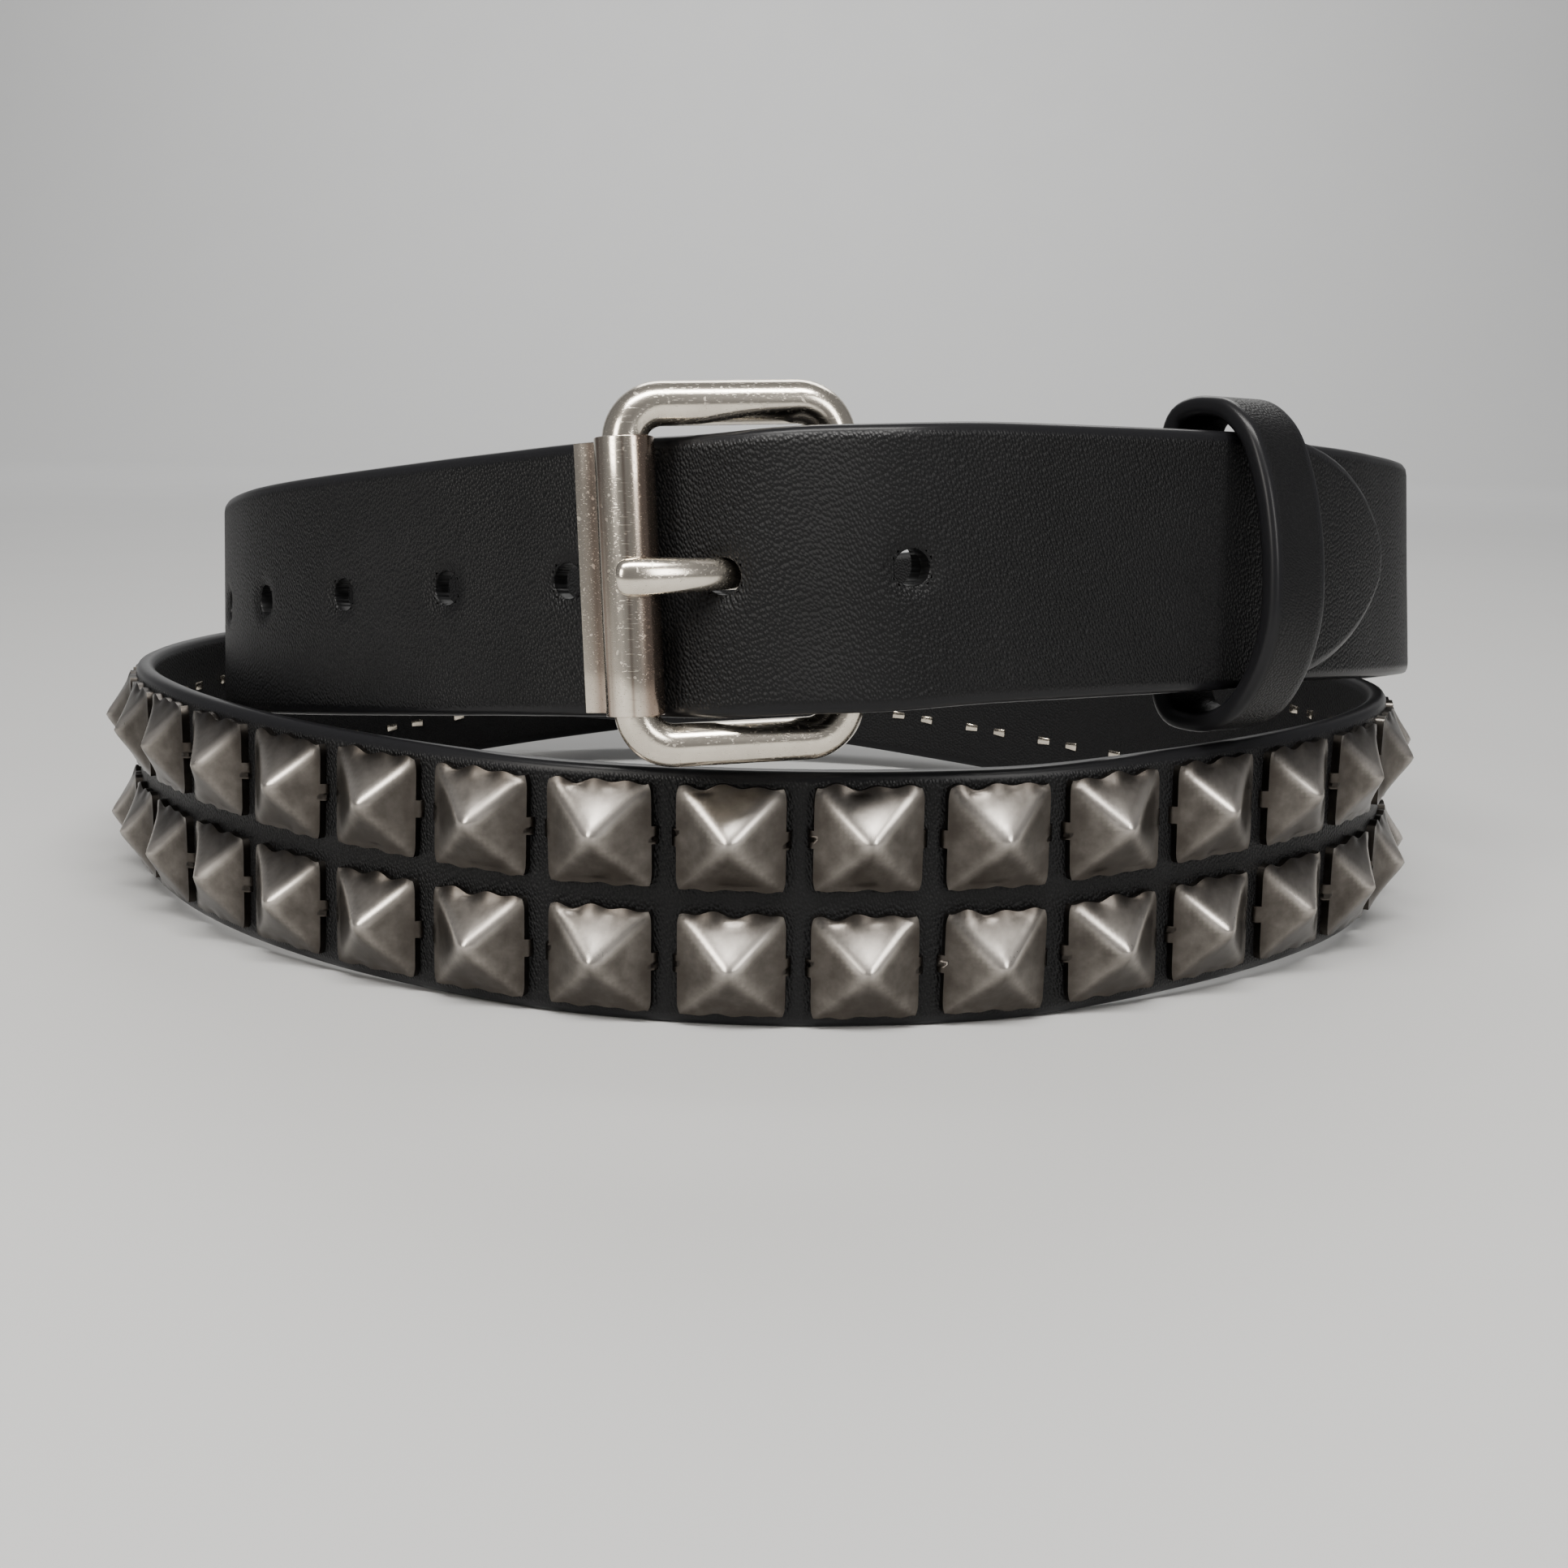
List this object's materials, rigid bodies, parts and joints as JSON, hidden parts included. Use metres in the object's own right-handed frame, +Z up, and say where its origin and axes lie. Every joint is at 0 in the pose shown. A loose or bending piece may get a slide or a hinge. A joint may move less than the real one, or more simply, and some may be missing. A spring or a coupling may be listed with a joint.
{
  "type": "studded leather belt, buckled and coiled",
  "caption": "Wide leather belt with two rows of metal pyramid studs, a wire roller buckle, prong holes and a keeper loop, buckled and standing on its edge in a double coil.",
  "frame": {"origin": "centre of the bounding box in plan, on the surface the coil stands on", "axes": "+Z up, -Y towards the buckle at the front, +X to the right of someone who faces the buckle"},
  "size_m": [0.2528, 0.2494, 0.0921],
  "materials": {
    "leather": "smooth black, semi-gloss, fine pebble grain",
    "nickel": "polished warm nickel plate with light scratches",
    "stud_metal": "antique nickel, satin, darker in its hollows"
  },
  "bodies": {
    "root": {"strap": "leather", "buckle_frame": "nickel", "buckle_roller": "nickel", "buckle_prong": "nickel", "keeper_loop": "leather"}
  },
  "joints": []
}
